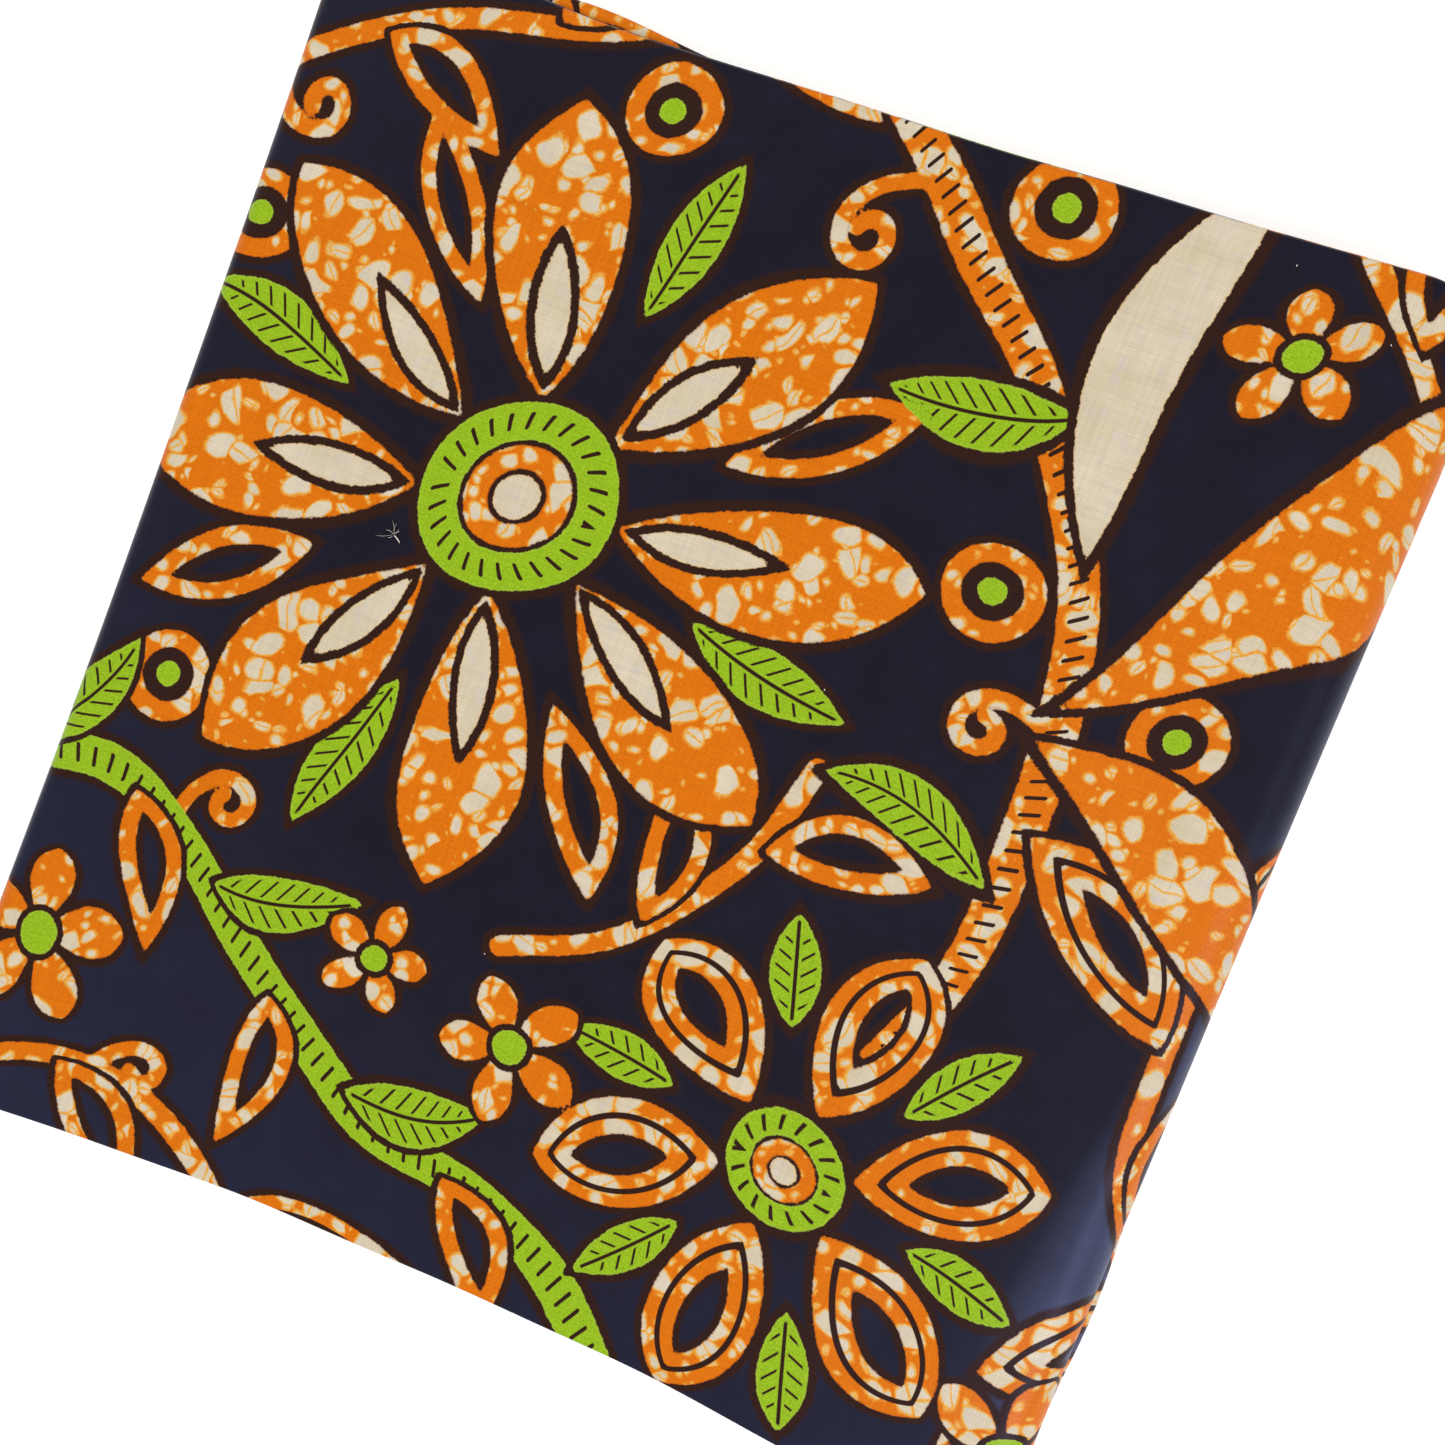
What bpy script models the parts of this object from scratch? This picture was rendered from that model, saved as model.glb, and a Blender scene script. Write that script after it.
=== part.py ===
# A length of wax-printed cotton, folded into a flat packet that lies on a surface.
# The cloth is folded in four across its width, which gives a strip, and the strip is
# folded in half three times along its length, which gives eight layers of four plies.
# Units are metres, +Z up. X runs from the crisp left fold to the round right fold and
# Y from the near edge to the far edge. The origin is under the middle of the packet.

import bmesh
import bpy
import numpy as np

PACKET_NAME = "ankara_fabric"

# Heights. The packet is thickest at the round fold, where all the layers bend together.
THICKNESS = 0.0200
WALL = 0.00215  # the outermost layer, four plies
GAP = 0.00035  # between the outermost layer and the layers inside it
SAG_LEFT = 0.060  # share of the height lost at the pressed left edge
SAG_MIDDLE = 0.030  # and in the middle, where no fold props the layers up

# Plan outline. Each edge is a shallow bow: its nearest distance from the middle, how
# much farther out it stands at a corner's reach from its nearest point, and the place
# of that nearest point along the edge.
CORNER_REACH = 0.140
EDGES = {
    "left": {"nearest": 0.1310, "bow": 0.0017, "nearest_at": 0.030},
    "right": {"nearest": 0.1328, "bow": 0.0007, "nearest_at": -0.125},
    "near": {"nearest": 0.1344, "bow": 0.0088, "nearest_at": 0.012},
    "far": {"nearest": 0.1386, "bow": 0.0042, "nearest_at": -0.005},
}
HALF_WIDTH = 0.133  # of the straight packet that is bent to that outline
HALF_DEPTH = 0.141

# Folds across the strip
RIGHT_BEND = THICKNESS / 2  # outer radius, eight layers
LEFT_BEND = THICKNESS / 4  # outer radius, the upper four layers
OPEN_END_INSET = 0.0022  # the bottom layer's cut end, in from the left edge
SOFT_EDGE = 0.0010  # rounding of a wall's edge, where its plies turn
SOFT_EDGE_STEPS = (  # how far in along the cloth, and how far in from each face
    {"along": 0.0, "across": 0.00080},
    {"along": 0.3 * SOFT_EDGE, "across": 0.00030},
    {"along": SOFT_EDGE, "across": 0.0},
)

# How far the edges of the outermost stretch lie in from the outline, as it goes round
WRAP_EDGES = {
    "tucked end": {"near": 0.0016, "far": 0.0020},
    "left fold": {"near": 0.0006, "far": 0.0008},
    "top panel": {"near": 0.0, "far": 0.0},
    "round fold": {"near": 0.0012, "far": 0.0010},
    "underside": {"near": 0.0009, "far": 0.0012},
}

# The layers inside, from the lowest up: where each starts, and how far its fold lies
# in from the outline at the near and the far edge
INNER_LAYERS = (
    {"name": "seventh", "bottom": 0.0025, "near": 0.0014, "far": 0.0020},
    {"name": "sixth", "bottom": 0.0050, "near": 0.0004, "far": 0.0008},
    {"name": "fifth", "bottom": 0.0074, "near": 0.0019, "far": 0.0023},
    {"name": "fourth", "bottom": 0.0098, "near": 0.0008, "far": 0.0006},
    {"name": "third", "bottom": 0.0124, "near": 0.0022, "far": 0.0017},
    {"name": "second", "bottom": 0.0150, "near": 0.0010, "far": 0.0006},
)
INNER_TOP = THICKNESS - WALL - GAP
GROOVE_DEPTH = 0.0012  # between two layers' folds
FOLD_ROUNDING = (  # height within a layer, and how far its fold draws in there
    {"height": 0.0, "draw_in": GROOVE_DEPTH},
    {"height": 0.2, "draw_in": 0.0003},
    {"height": 0.5, "draw_in": 0.0},
    {"height": 0.8, "draw_in": 0.0003},
)

# The second layer slips out past the far edge for a short stretch
SLIP = {"centre": -0.066, "half_length": 0.046, "reach": 0.0036}

# Near the near end, the lower half of the round fold bulges out under the upper half
BULGE = {"centre": -0.112, "half_length": 0.044, "reach": 0.0022, "highest": 0.55 * THICKNESS}

# Left ends of the inner layers, in from the left edge
SEVENTH_OPEN_INSET = 0.0034
LOWER_FOLD_INSET = 0.0010
TUCKED_END_GAP = 0.00045  # between the outer stretch's tucked end and the fourth layer
CORNER_DRAW_IN = 0.0012

# Fineness of the meshes
TOP_RUNS = 12
LEFT_BEND_STEPS = 8
RIGHT_BEND_STEPS = 14
WRAP_STATIONS = 10
LATTICE = (14, 12)
SHARP_ANGLE = 50  # degrees, past which an edge is shaded sharp

PRINTED_COTTON = {"colour": (0.0231, 0.0252, 0.0497, 1.0), "roughness": 0.78}
INNER_COTTON = {"colour": (0.0423, 0.0296, 0.0331, 1.0), "roughness": 0.85}


def edge_distance(side, along):
    """Distance of an edge from the middle at a place along it: a parabola."""
    edge = EDGES[side]
    return edge["nearest"] + edge["bow"] * ((along - edge["nearest_at"]) / CORNER_REACH) ** 2


def bend_to_outline(points):
    """Moves points of the straight packet to the bowed plan, and presses them down
    towards the left edge and the middle. The underside stays at height zero."""
    x, y, z = points[..., 0], points[..., 1], points[..., 2]
    across = (x + HALF_WIDTH) / (2 * HALF_WIDTH)
    up = (y + HALF_DEPTH) / (2 * HALF_DEPTH)
    new_x = across * edge_distance("right", y) - (1 - across) * edge_distance("left", y)
    new_y = up * edge_distance("far", x) - (1 - up) * edge_distance("near", x)
    inside = np.sin(np.pi * np.clip(across, 0, 1)) * np.sin(np.pi * np.clip(up, 0, 1))
    height = 1 - SAG_LEFT * (1 - across) - SAG_MIDDLE * inside
    return np.stack([new_x, new_y, z * height], axis=-1)


def arc(centre_x, centre_z, radius, start, end, steps):
    """Points of a bend seen from the near side, from one angle to another in degrees."""
    angle = np.radians(np.linspace(start, end, steps + 1))
    return np.stack([centre_x + radius * np.cos(angle), centre_z + radius * np.sin(angle)], 1)


def wrap_path(depth):
    """The outermost stretch seen from the near side, at a depth below its outer face:
    round the left fold, over the top, round the right fold and back underneath."""
    left_x = LEFT_BEND - HALF_WIDTH
    right_x = HALF_WIDTH - RIGHT_BEND
    left = arc(left_x, THICKNESS - LEFT_BEND, LEFT_BEND - depth, -90, -270, LEFT_BEND_STEPS)
    right = arc(right_x, RIGHT_BEND, RIGHT_BEND - depth, 90, -90, RIGHT_BEND_STEPS)
    top_x = np.linspace(left_x, right_x, TOP_RUNS + 1)[1:-1]
    under_x = np.linspace(right_x, OPEN_END_INSET - HALF_WIDTH, TOP_RUNS + 1)[1:]
    top = np.stack([top_x, np.full_like(top_x, THICKNESS - depth)], 1)
    under = np.stack([under_x, np.full_like(under_x, depth)], 1)
    return np.concatenate([left, top, right, under])


def wrap_edge_insets(side):
    """How far in one edge of the outermost stretch lies, at each point of its path."""
    left_end = LEFT_BEND_STEPS
    right_start = left_end + TOP_RUNS
    right_end = right_start + RIGHT_BEND_STEPS
    places = [0, left_end / 2, (left_end + right_start) / 2, (right_start + right_end) / 2, right_end]
    count = right_end + TOP_RUNS + 1
    return np.interp(np.arange(count), places, [row[side] for row in WRAP_EDGES.values()])


def hump(places, centre, half_length):
    """A smooth rise from nothing to one at the centre, and back."""
    share = np.clip(np.abs(places - centre) / half_length, 0, 1)
    return np.cos(share * np.pi / 2) ** 2


def round_fold_bulge(points):
    """How far the round fold is pushed out: most at a third of its height."""
    x, y, z = points[..., 0], points[..., 1], points[..., 2]
    on_fold = np.clip((x - HALF_WIDTH + RIGHT_BEND) / RIGHT_BEND, 0, 1)
    low = np.sin(np.pi * np.clip(z / BULGE["highest"], 0, 1)) ** 2
    return BULGE["reach"] * on_fold * low * hump(y, BULGE["centre"], BULGE["half_length"])


def wrap_stations():
    """Sections of the outermost stretch from the near to the far edge: the share of
    the way across, a distance to add to it, and how far each face draws in."""
    near = [(0.0, step["along"], step["across"]) for step in SOFT_EDGE_STEPS]
    middle = [(k / WRAP_STATIONS, 0.0, 0.0) for k in range(1, WRAP_STATIONS)]
    far = [(1.0, -step["along"], step["across"]) for step in reversed(SOFT_EDGE_STEPS)]
    return near + middle + far


def outer_wrap_mesh():
    """A wall lofted through sections: each is the path's outer side and back along its
    inner side, and the two end sections are closed with quads across the wall."""
    near = -HALF_DEPTH + wrap_edge_insets("near")
    far = HALF_DEPTH - wrap_edge_insets("far")
    sections = []
    for share, shift, draw_in in wrap_stations():
        y = near + (far - near) * share + shift
        outer = np.insert(wrap_path(draw_in), 1, y, axis=1)
        inner = np.insert(wrap_path(WALL - draw_in), 1, y, axis=1)
        sections.append(np.concatenate([outer, inner[::-1]]))
    points = np.array(sections)
    points[..., 0] += round_fold_bulge(points)
    count = points.shape[1]
    faces = []
    for row in range(len(sections) - 1):
        for k in range(count):
            a, b = row * count + k, row * count + (k + 1) % count
            faces.append((a, b, b + count, a + count))
    for start in (0, (len(sections) - 1) * count):
        for k in range(count // 2 - 1):
            faces.append((start + k, start + k + 1, start + count - 2 - k, start + count - 1 - k))
    return points.reshape(-1, 3), faces


def round_fold_inset(z):
    """How far in from the right edge the inner layers' bend lies at a height."""
    radius = RIGHT_BEND - WALL - GAP
    return RIGHT_BEND - np.sqrt(max(radius**2 - (z - RIGHT_BEND) ** 2, 0.0))


def left_inset(z):
    """How far in from the left edge the inner layers lie at a height: the seventh is
    cut off square, the fifth and sixth join in a fold, the fourth stops short of the
    outer stretch's tucked end, and the second and third join inside its bend."""
    seventh, sixth, _, fourth, third, _ = (row["bottom"] for row in INNER_LAYERS)
    if z < sixth:
        return SEVENTH_OPEN_INSET
    if z < fourth:
        radius = (fourth - sixth) / 2
        return LOWER_FOLD_INSET + radius - np.sqrt(max(radius**2 - (z - sixth - radius) ** 2, 0.0))
    if z <= third:
        return LEFT_BEND + TUCKED_END_GAP
    radius = LEFT_BEND - WALL - GAP
    return LEFT_BEND - np.sqrt(max(radius**2 - (z - THICKNESS + LEFT_BEND) ** 2, 0.0))


def slip(x):
    """How far the second layer slips out past the far edge: a smooth hump."""
    return SLIP["reach"] * hump(x, SLIP["centre"], SLIP["half_length"])


def inner_levels():
    """Levels of the inner layers: height, draw-in at the near and far folds, and
    whether the level belongs to the second layer."""
    bottoms = [row["bottom"] for row in INNER_LAYERS] + [INNER_TOP]
    levels = []
    for k, layer in enumerate(INNER_LAYERS):
        for step in FOLD_ROUNDING:
            z = bottoms[k] + (bottoms[k + 1] - bottoms[k]) * step["height"]
            draw_in = step["draw_in"]
            slips = layer["name"] == "second" and step["height"] > 0
            levels.append((z, layer["near"] + draw_in, layer["far"] + draw_in, slips))
    last = INNER_LAYERS[-1]
    levels.append((INNER_TOP, last["near"] + GROOVE_DEPTH, last["far"] + GROOVE_DEPTH, True))
    return levels


def lattice_at(level):
    """A grid of points that fills the packet's plan at one level, corners drawn in."""
    z, near, far, slips = level
    columns, rows = LATTICE
    x = np.linspace(left_inset(z) - HALF_WIDTH, HALF_WIDTH - round_fold_inset(z), columns + 1)
    near_edge = near - HALF_DEPTH
    far_edge = HALF_DEPTH - far + (slip(x) if slips else np.zeros_like(x))
    share = np.linspace(0, 1, rows + 1)
    y = near_edge + (far_edge[:, None] - near_edge) * share
    grid = np.stack([np.broadcast_to(x[:, None], y.shape), y, np.full(y.shape, z)], axis=-1)
    for i, x_sign in ((0, 1), (-1, -1)):
        for j, y_sign in ((0, 1), (-1, -1)):
            grid[i, j, 0] += CORNER_DRAW_IN * x_sign
            grid[i, j, 1] += CORNER_DRAW_IN * y_sign
    return grid


def rim_indices():
    """Grid places round the rim of a lattice, in order."""
    columns, rows = LATTICE
    near = [(i, 0) for i in range(columns)]
    right = [(columns, j) for j in range(rows)]
    far = [(i, rows) for i in range(columns, 0, -1)]
    left = [(0, j) for j in range(rows, 0, -1)]
    return near + right + far + left


def inner_layers_mesh():
    """One rounded solid: rims of the layers' levels, closed by a grid below and above."""
    levels = inner_levels()
    grids = [lattice_at(level) for level in levels]
    rim = rim_indices()
    points = [grid[i, j] for grid in grids for i, j in rim]
    count = len(rim)
    faces = []
    for row in range(len(levels) - 1):
        for k in range(count):
            a, b = row * count + k, row * count + (k + 1) % count
            faces.append((a, b, b + count, a + count))
    columns, rows = LATTICE
    for grid, first in ((grids[0], 0), (grids[-1], (len(levels) - 1) * count)):
        index = np.zeros((columns + 1, rows + 1), int)
        for k, place in enumerate(rim):
            index[place] = first + k
        for i in range(1, columns):
            for j in range(1, rows):
                index[i, j] = len(points)
                points.append(grid[i, j])
        for i in range(columns):
            for j in range(rows):
                faces.append((index[i, j], index[i + 1, j], index[i + 1, j + 1], index[i, j + 1]))
    return np.array(points), faces


def cotton(name, look):
    """A Principled material of matt cotton."""
    material = bpy.data.materials.new(name)
    material.use_nodes = True
    shader = material.node_tree.nodes["Principled BSDF"]
    shader.inputs["Base Color"].default_value = look["colour"]
    shader.inputs["Roughness"].default_value = look["roughness"]
    shader.inputs["Metallic"].default_value = 0.0
    return material


def add_piece(name, points, faces, material, collection):
    """Makes an object from points and faces, with its faces pointing out."""
    mesh = bpy.data.meshes.new(name)
    mesh.from_pydata([tuple(map(float, p)) for p in points], [], [tuple(map(int, f)) for f in faces])
    shaped = bmesh.new()
    shaped.from_mesh(mesh)
    bmesh.ops.recalc_face_normals(shaped, faces=shaped.faces)
    shaped.to_mesh(mesh)
    shaped.free()
    mesh.materials.append(material)
    mesh.shade_smooth()
    mesh.set_sharp_from_angle(angle=np.radians(SHARP_ANGLE))
    piece = bpy.data.objects.new(name, mesh)
    collection.objects.link(piece)
    return piece


def build():
    for leftover in list(bpy.data.objects):
        bpy.data.objects.remove(leftover)
    packet = bpy.data.collections.new(PACKET_NAME)
    bpy.context.scene.collection.children.link(packet)

    wrap_points, wrap_faces = outer_wrap_mesh()
    inner_points, inner_faces = inner_layers_mesh()
    wrap_points = bend_to_outline(wrap_points)
    inner_points = bend_to_outline(inner_points)
    everything = np.concatenate([wrap_points, inner_points])
    middle = (everything.min(axis=0) + everything.max(axis=0)) / 2
    middle[2] = 0.0

    printed = cotton("printed_cotton", PRINTED_COTTON)
    inner = cotton("inner_cotton", INNER_COTTON)
    add_piece("outer_wrap", wrap_points - middle, wrap_faces, printed, packet)
    add_piece("inner_layers", inner_points - middle, inner_faces, inner, packet)


build()
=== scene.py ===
import functools
import math
import bmesh
import bpy
import numpy as np
from mathutils import Matrix, Vector


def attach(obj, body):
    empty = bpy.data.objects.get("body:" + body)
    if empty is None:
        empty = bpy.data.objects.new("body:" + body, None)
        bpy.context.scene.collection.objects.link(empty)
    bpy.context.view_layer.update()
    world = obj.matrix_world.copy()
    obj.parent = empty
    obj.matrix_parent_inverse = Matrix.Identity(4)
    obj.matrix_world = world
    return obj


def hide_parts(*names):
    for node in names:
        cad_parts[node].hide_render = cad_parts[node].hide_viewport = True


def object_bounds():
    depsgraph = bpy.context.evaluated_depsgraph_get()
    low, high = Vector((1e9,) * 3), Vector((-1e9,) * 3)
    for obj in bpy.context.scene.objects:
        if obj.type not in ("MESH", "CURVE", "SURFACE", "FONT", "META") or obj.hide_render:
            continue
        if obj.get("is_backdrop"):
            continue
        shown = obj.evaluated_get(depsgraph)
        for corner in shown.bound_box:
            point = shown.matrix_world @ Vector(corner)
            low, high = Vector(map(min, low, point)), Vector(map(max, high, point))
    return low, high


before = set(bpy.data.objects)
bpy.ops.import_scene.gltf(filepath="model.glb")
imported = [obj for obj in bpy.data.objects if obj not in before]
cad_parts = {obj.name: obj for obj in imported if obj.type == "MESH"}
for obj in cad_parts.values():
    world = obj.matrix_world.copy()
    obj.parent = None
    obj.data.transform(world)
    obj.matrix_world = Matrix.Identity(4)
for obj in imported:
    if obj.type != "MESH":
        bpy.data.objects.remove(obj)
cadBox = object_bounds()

# A length of wax-printed cotton folded into a packet. The cloth is folded in four across
# its width, into a strip of plies a, b, c and d, and the strip three times along its
# length, into eight layers. Lengths are in metres; the print is drawn in millimetres.

mm = 0.001
scene = bpy.context.scene

# Camera, light and floor

photoView = {
    "place": (0.0566, 0.0255, 0.3419), "lookAt": (0.0105, 0.0042, 0.0), "up": (-0.36, 0.933, 0.0),
    "focalPixels": 1506.0, "imagePixels": 1445.0, "sensor": 36.0, "range": (0.01, 20.0),
}
studio = {
    "world": {"Color": "#fbfbfa", "Strength": 0.78},
    "lamps": {  # place, size, power and colour
        "window": ((0.64, -0.62, 1.00), (0.5, 0.5), 9.0, "#f4f7ff"),
        "fill": ((-0.60, 0.80, 1.10), (0.9, 0.9), 8.0, "#fffbf5"),
        "sheen": ((0.98, -0.41, 1.06), (0.45, 0.6), 26.0, "#b8c8ff"),
    },
    "floor": (3.0, -0.0002),  # reach and height
    "paper": {"Base Color": "#fafaf9", "Roughness": 0.9,
              "Emission Color": "#fafaf9", "Emission Strength": 0.22},
}


def hexToLinear(text):
    # sRGB hex to linear: c / 12.92 below 0.04045, else ((c + 0.055) / 1.055) ^ 2.4
    parts = [int(text[k:k + 2], 16) / 255 for k in (1, 3, 5)]
    return tuple(c / 12.92 if c <= 0.04045 else ((c + 0.055) / 1.055) ** 2.4 for c in parts) + (1.0,)


def connect(tree, value, socket):
    # a colour as hex, a value, or a link from a socket or a node's first output, to a socket
    if isinstance(value, bpy.types.Node):
        value = next(output for output in value.outputs if output.enabled)
    if isinstance(value, bpy.types.NodeSocket):
        tree.links.new(value, socket)
    elif value is not None:
        socket.default_value = hexToLinear(value) if isinstance(value, str) else value


def setSockets(tree, nodeName, values):
    for socket, value in values.items():
        connect(tree, value, tree.nodes[nodeName].inputs[socket])


def newMaterial(name, values):
    # a material with the values set on its shader's own sockets
    material = bpy.data.materials.new(name)
    material.use_nodes = True
    setSockets(material.node_tree, "Principled BSDF", values)
    return material


def newMesh(name, points, quads):
    mesh = bpy.data.meshes.new(name)
    mesh.from_pydata(points, [], quads)
    mesh.shade_smooth()
    return mesh


def addObject(name, data):
    thing = bpy.data.objects.new(name, data)
    scene.collection.objects.link(thing)
    return thing


def aim(thing, place, target, up=(0.0, 0.0, 1.0)):
    # the thing's -Z towards the target, its Y as near to up as it can be
    back = (Vector(place) - Vector(target)).normalized()
    right = Vector(up).cross(back).normalized()
    axes = Matrix((right, back.cross(right), back)).transposed().to_4x4()
    thing.matrix_world = Matrix.Translation(place) @ axes


def makeCamera():
    data = bpy.data.cameras.new("photoCamera")
    data.sensor_width = photoView["sensor"]
    data.lens = photoView["sensor"] * photoView["focalPixels"] / photoView["imagePixels"]
    data.clip_start, data.clip_end = photoView["range"]
    camera = addObject("photoCamera", data)
    aim(camera, photoView["place"], photoView["lookAt"], photoView["up"])
    bpy.context.scene.camera = camera


def makeStudio():
    scene.world = world = bpy.data.worlds.new("paleStudio")
    world.use_nodes = True
    setSockets(world.node_tree, "Background", studio["world"])
    for name, (place, size, power, colour) in studio["lamps"].items():
        data = bpy.data.lights.new(name, "AREA")
        data.shape = "RECTANGLE"
        data.size, data.size_y = size
        data.energy = power
        data.color = hexToLinear(colour)[:3]
        lamp = addObject(name, data)
        aim(lamp, place, (0, 0, 0))
        lamp.visible_glossy = name == "sheen"  # the one lamp that the cloth mirrors
        lamp.visible_diffuse = name != "sheen"
    reach, height = studio["floor"]
    corners = [(x * reach, y * reach, height) for x, y in ((-1, -1), (1, -1), (1, 1), (-1, 1))]
    mesh = newMesh("floor", corners, [(0, 1, 2, 3)])
    mesh.materials.append(newMaterial("paleFloorPaper", studio["paper"]))
    floor = addObject("floor", mesh)
    floor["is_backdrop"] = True


makeCamera()
makeStudio()
scene.view_settings.view_transform = "Standard"
print("camera, light and floor are in place")

# The folded strip

packet = {
    "thickness": 0.0200,
    "halfWidth": 0.133,  # of the straight packet that is bent to its outline
    "halfDepth": 0.141,
    "halfStrip": 0.00112,  # half the thickness of a strip of four plies
    "ply": 0.0003,
    "plyHeights": {"a": 0.00097, "b": 0.000323, "c": -0.000323, "d": -0.00097},
    "rightBend": 0.0100, "leftBend": 0.0050,
    "innerShifts": (0.0008, 0.0015, 0.0030),  # of the second, third and fourth layers' bends
    "lowerFoldInset": 0.0010, "tuckedIn": 0.0010,
    "eighthEnd": 0.0022, "seventhEnd": 0.0034,
    "endWander": 0.0008, "endReach": 0.012,  # of the cut ends
    "sagLeft": 0.060, "sagMiddle": 0.030,
    "cornerReach": 0.140,
    "middle": (0.0009, -0.000436),  # of the outline, which the CAD puts at the origin
}
edges = {  # distance from the middle where it is nearest, bow, and where along it that is
    "left": (0.1310, 0.0017, 0.030), "right": (0.1328, 0.0007, -0.125),
    "near": (0.1344, 0.0088, 0.012), "far": (0.1386, 0.0042, -0.005),
}
halfWidth, halfDepth, plyHeights = (packet[key] for key in ("halfWidth", "halfDepth", "plyHeights"))
layerHeights = np.linspace(packet["thickness"] - packet["halfStrip"], packet["halfStrip"], 8)


def turned(x, y, degrees):
    # x and y along and across a heading
    c, s = math.cos(math.radians(degrees)), math.sin(math.radians(degrees))
    return x * c + y * s, y * c - x * s


def foldPath():
    # the strip's middle line seen from the near side, as runs and bends in their order from
    # the eighth layer's open end to the seventh's: a run has its two ends, its height and
    # its normal, and a bend its middle, its radius, its turn and its normal
    z = layerHeights
    left, right, mid = -halfWidth, halfWidth - packet["rightBend"], packet["thickness"] / 2
    second, third, fourth = (right - shift for shift in packet["innerShifts"])
    upper, upperMid = left + packet["leftBend"], (z[0] + z[3]) / 2
    tucked = upper + packet["tuckedIn"]
    lowRadius = (z[4] - z[5]) / 2
    low = left + packet["lowerFoldInset"] + lowRadius + packet["halfStrip"]
    rows = [
        (8, (left + packet["eighthEnd"], right), z[7], -1),
        (18, (right, mid), z[0] - mid, (-90, 90), 1),
        (1, (right, upper), z[0], 1),
        (14, (upper, upperMid), z[0] - upperMid, (90, 270), 1),
        (4, (upper, fourth), z[3], -1),
        (45, (fourth, mid), z[3] - mid, (90, -90), -1),
        (5, (fourth, low), z[4], 1),
        (56, (low, (z[4] + z[5]) / 2), lowRadius, (90, 270), 1),
        (6, (low, third), z[5], -1),
        (36, (third, mid), mid - z[5], (-90, 90), 1),
        (3, (third, tucked), z[2], 1),
        (23, (tucked, upperMid), upperMid - z[2], (270, 90), -1),
        (2, (tucked, second), z[1], -1),
        (27, (second, mid), z[1] - mid, (90, -90), -1),
        (7, (second, left + packet["seventhEnd"]), z[6], 1),
    ]
    keys = {4: ("layer", "run", "z", "normal"), 5: ("layer", "bend", "radius", "turn", "normal")}
    return [dict(zip(keys[len(row)], row)) for row in rows]


# how far the strip's near and far edges lie in from the outline, in millimetres, along
# each run and at the middle of each bend
edgeInsets = {
    8: (0.9, 1.2), 18: (3.6, 6.6), 1: (0.0, 0.0), 14: (0.6, 0.8), 4: (0.8, 0.6),
    45: (3.0, 5.2), 5: (1.9, 2.3), 56: (1.2, 1.4), 6: (0.4, 0.8), 36: (2.7, 5.5),
    3: (2.2, 1.7), 23: (2.0, 1.6), 2: (1.0, 0.6), 27: (3.5, 5.9), 7: (1.4, 2.0),
}
runKnots = (0.035, 0.965)  # between which a run keeps its inset
# reach, length and start of its waves
edgeWander = [(0.00022, 0.0171, 0.0), (0.00018, 0.0293, 1.3), (0.00012, 0.0079, 0.7)]
slip = (2, -0.072, 0.036, 0.0030)  # layer, centre, half length and reach past the far edge
drawnIn = (1, -0.058, 0.045, 0.0013)  # of the layer above it, back from the edge
bulge = {"centre": -0.086, "halfLength": 0.042, "reach": 0.0030, "highest": 0.55,
         "grooveHeight": 0.52, "grooveWidth": 0.05, "groove": 0.0012}

path = foldPath()
for piece in path:
    if "run" in piece:
        piece["length"] = np.ptp(piece["run"])
    else:
        piece["length"] = piece["radius"] * math.radians(np.ptp(piece["turn"]))
starts = np.concatenate([[0.0], np.cumsum([piece["length"] for piece in path])])
byLayer = {piece["layer"]: k for k, piece in enumerate(path)}
pathEnd = starts[-1]
printStart = starts[byLayer[1]] + path[byLayer[1]]["run"][0]  # where the top panel's middle lies


def hump(places, centre, halfLength):
    # cos^2 of the distance from the centre: one there, nothing at half a length
    share = np.clip(np.abs(places - centre) / halfLength, 0, 1)
    return np.cos(share * np.pi / 2) ** 2


def between(a, b, t):
    # a (1 - t) + b t
    return a * (1 - t) + b * t


def stripAt(lengths):
    # middle line (x, z) and outward normal of the strip at lengths along its path
    x, z, nx, nz = np.zeros((4, len(lengths)))
    owner = np.clip(np.searchsorted(starts, lengths, side="right") - 1, 0, len(path) - 1)
    for k, piece in enumerate(path):
        here = owner == k
        along = lengths[here] - starts[k]
        if "run" in piece:
            a, b = piece["run"]
            x[here], z[here], nz[here] = a + along * np.sign(b - a), piece["z"], piece["normal"]
        else:
            a, b = np.radians(piece["turn"])
            angle = a + (b - a) * along / piece["length"]
            outwards = np.stack([np.cos(angle), np.sin(angle)])
            x[here], z[here] = np.array(piece["bend"])[:, None] + piece["radius"] * outwards
            nx[here], nz[here] = piece["normal"] * outwards
    return x, z, nx, nz


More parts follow.
